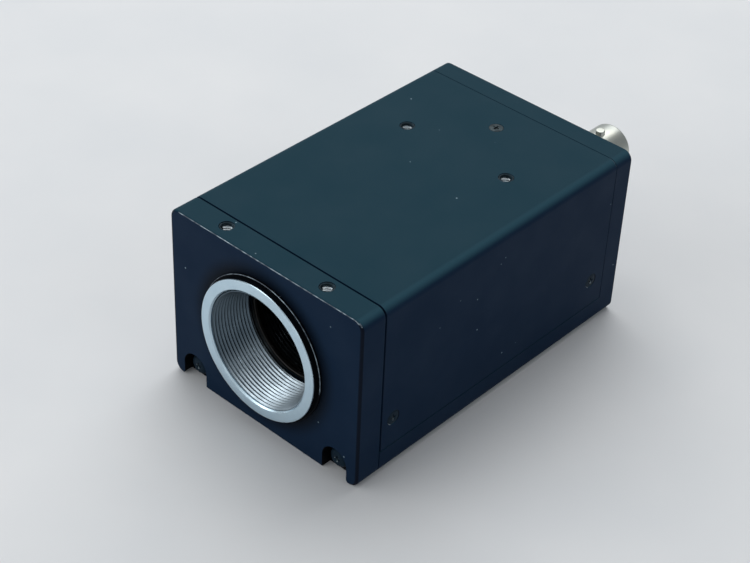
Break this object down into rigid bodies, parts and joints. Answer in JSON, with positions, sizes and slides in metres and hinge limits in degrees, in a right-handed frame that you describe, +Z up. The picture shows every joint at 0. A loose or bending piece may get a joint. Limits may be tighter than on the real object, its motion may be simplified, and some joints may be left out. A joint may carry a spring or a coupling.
{
  "type": "machine vision camera",
  "caption": "Box-shaped black metal industrial camera without a lens: threaded lens ring in front, coaxial and multi-pin sockets and screwdriver controls behind, tapped holes above and below.",
  "frame": {"origin": "middle of the housing's footprint, on the foot face that the camera stands on", "axes": "+Z up, the lens mount looks along -Y, the coaxial connector points along +Y on the +X half"},
  "size_m": [0.05, 0.0922, 0.0394],
  "materials": {
    "black_anodised": "matte black anodised",
    "bare_aluminium": "fine turned, bare",
    "grey_retainer": "dark anodised",
    "steel_screws": "blackened, worn",
    "plated_screws": "zinc plated",
    "filter": "polished",
    "cover_glass": "polished",
    "rubber_seal": "matte",
    "sensor_ceramic": "matte ceramic",
    "sensor_silicon": "polished silicon",
    "gold_contact": "gold plated",
    "board_green": "solder mask over glass fibre",
    "nylon_pillars": "natural nylon",
    "black_moulding": "moulded",
    "orange_moulding": "moulded",
    "tinned_can": "tinned",
    "white_moulding": "moulded",
    "ribbon_film": "polyimide film",
    "nickel": "nickel plated",
    "blue_moulding": "moulded"
  },
  "bodies": {
    "housing": {"front_plate": "black_anodised", "top_cover": "black_anodised", "chassis": "black_anodised", "sensor_holder": "black_anodised", "lens_mount_ring": "bare_aluminium", "filter_retainer": "grey_retainer", "cover_screws": "steel_screws", "front_plate_screws": "plated_screws", "sensor_studs": "plated_screws", "filter_glass": "filter", "sensor_window": "cover_glass", "sensor_seal": "rubber_seal", "sensor_package": "sensor_ceramic", "sensor_die": "sensor_silicon", "sensor_pins": "gold_contact", "coax_contact": "gold_contact", "socket_pins": "gold_contact", "sensor_board": "board_green", "lower_board": "board_green", "upper_board": "board_green", "rear_board": "board_green", "lower_standoffs": "nylon_pillars", "upper_standoffs": "nylon_pillars", "stack_header": "black_moulding", "chips": "black_moulding", "rear_header": "black_moulding", "socket_insert": "black_moulding", "capacitors": "orange_moulding", "oscillator_can": "tinned_can", "ribbon_connectors": "white_moulding", "coax_insulator": "white_moulding", "sensor_ribbon": "ribbon_film", "coax_body": "nickel", "coax_nut": "nickel", "socket_shell": "nickel", "socket_nut": "nickel", "selector_body": "blue_moulding", "trimmer_body": "blue_moulding"},
    "selector": {"selector_rotor": "white_moulding"},
    "trimmer": {"trimmer_rotor": "white_moulding"}
  },
  "joints": [
    {"name": "selector_turn", "type": "hinge", "parent": "housing", "child": "selector", "pos_m": [0.00775, 0.037, 0.0108], "axis": [0, 1, 0], "continuous": true},
    {"name": "trimmer_turn", "type": "hinge", "parent": "housing", "child": "trimmer", "pos_m": [0.01625, 0.037, 0.0108], "axis": [0, 1, 0], "range_deg": [-135, 135]}
  ]
}
